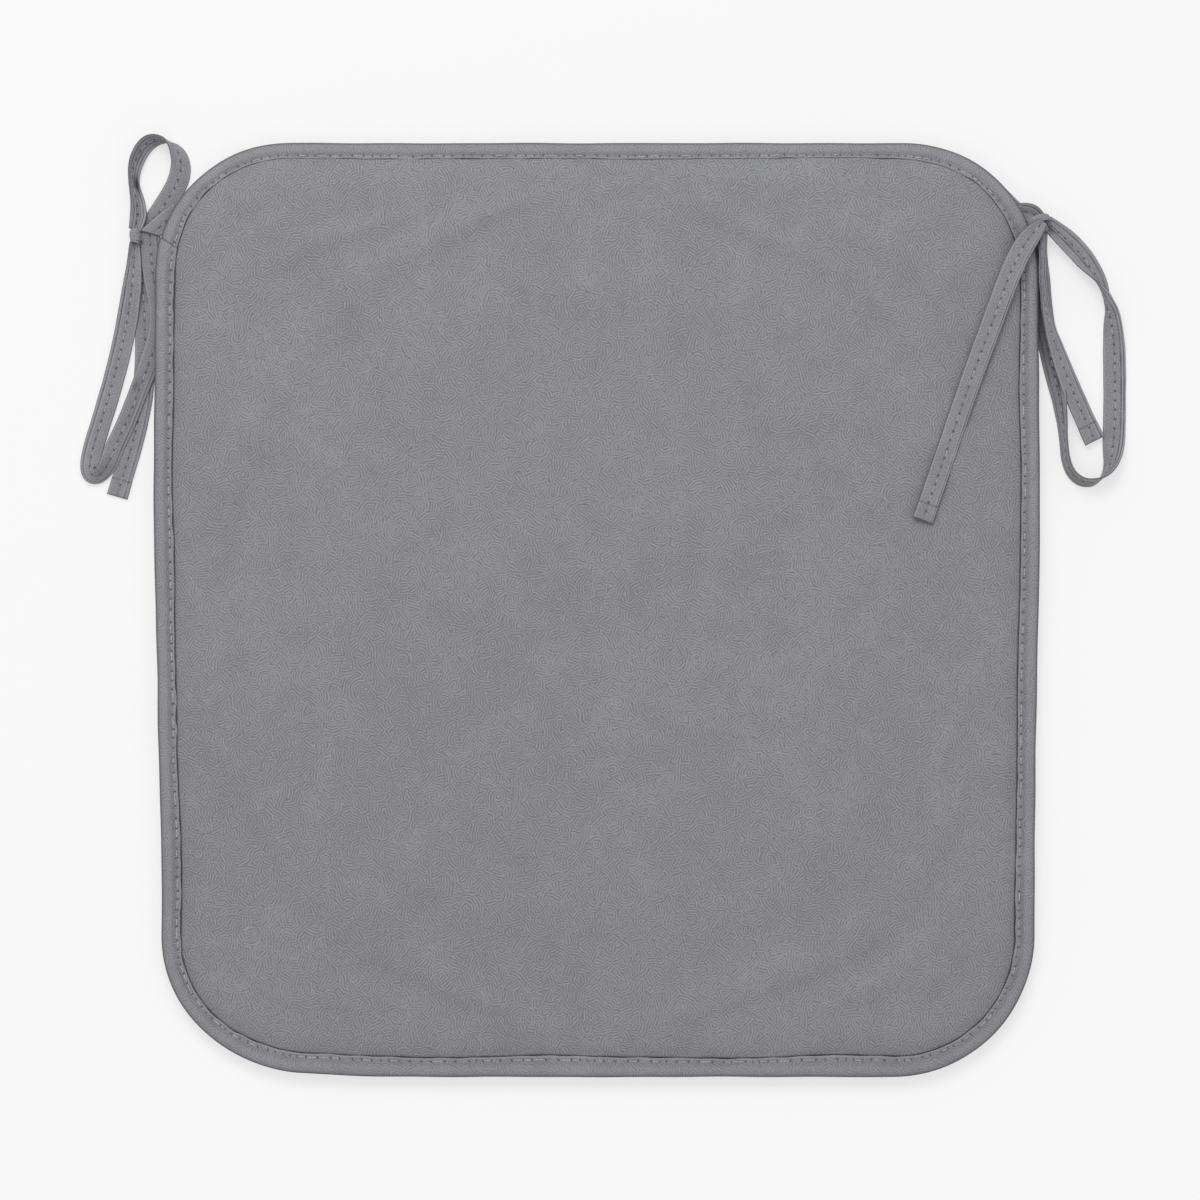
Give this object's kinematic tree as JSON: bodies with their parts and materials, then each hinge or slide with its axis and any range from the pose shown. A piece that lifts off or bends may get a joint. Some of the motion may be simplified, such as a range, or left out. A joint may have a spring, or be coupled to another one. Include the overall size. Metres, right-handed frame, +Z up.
{
  "type": "chair seat pad",
  "caption": "Thin rounded-square chair seat pad: cloth covers over a foam sheet, bound edge all round, and a tie tape knotted in a bow at each rear corner.",
  "frame": {"origin": "on the underside, at the centre of the pad's outline without the ties", "axes": "+Z up through the pad, +Y towards the edge with the ties (the chair's back), +X to the right seen from above"},
  "size_m": [0.4494, 0.4047, 0.0126],
  "materials": {
    "cover_cloth": "brushed grey microfibre",
    "binding_cloth": "the same cloth, folded smooth",
    "tie_cloth": "the same cloth, folded smooth",
    "sewing_thread": "grey polyester thread",
    "foam": "open-cell polyurethane foam"
  },
  "bodies": {
    "root": {"top_cover": "cover_cloth", "bottom_cover": "cover_cloth", "foam_core": "foam", "edge_binding": "binding_cloth", "binding_needle_thread": "sewing_thread", "binding_bobbin_thread": "sewing_thread", "left_tie_root": "tie_cloth", "right_tie_root": "tie_cloth", "left_tie_tack_thread": "sewing_thread", "right_tie_tack_thread": "sewing_thread", "left_tie_knot": "tie_cloth", "right_tie_knot": "tie_cloth", "left_tie_upper_loop": "tie_cloth", "left_tie_lower_loop": "tie_cloth", "left_tie_tail": "tie_cloth", "right_tie_outer_loop": "tie_cloth", "right_tie_top_tail": "tie_cloth", "right_tie_side_tail": "tie_cloth"}
  },
  "joints": []
}
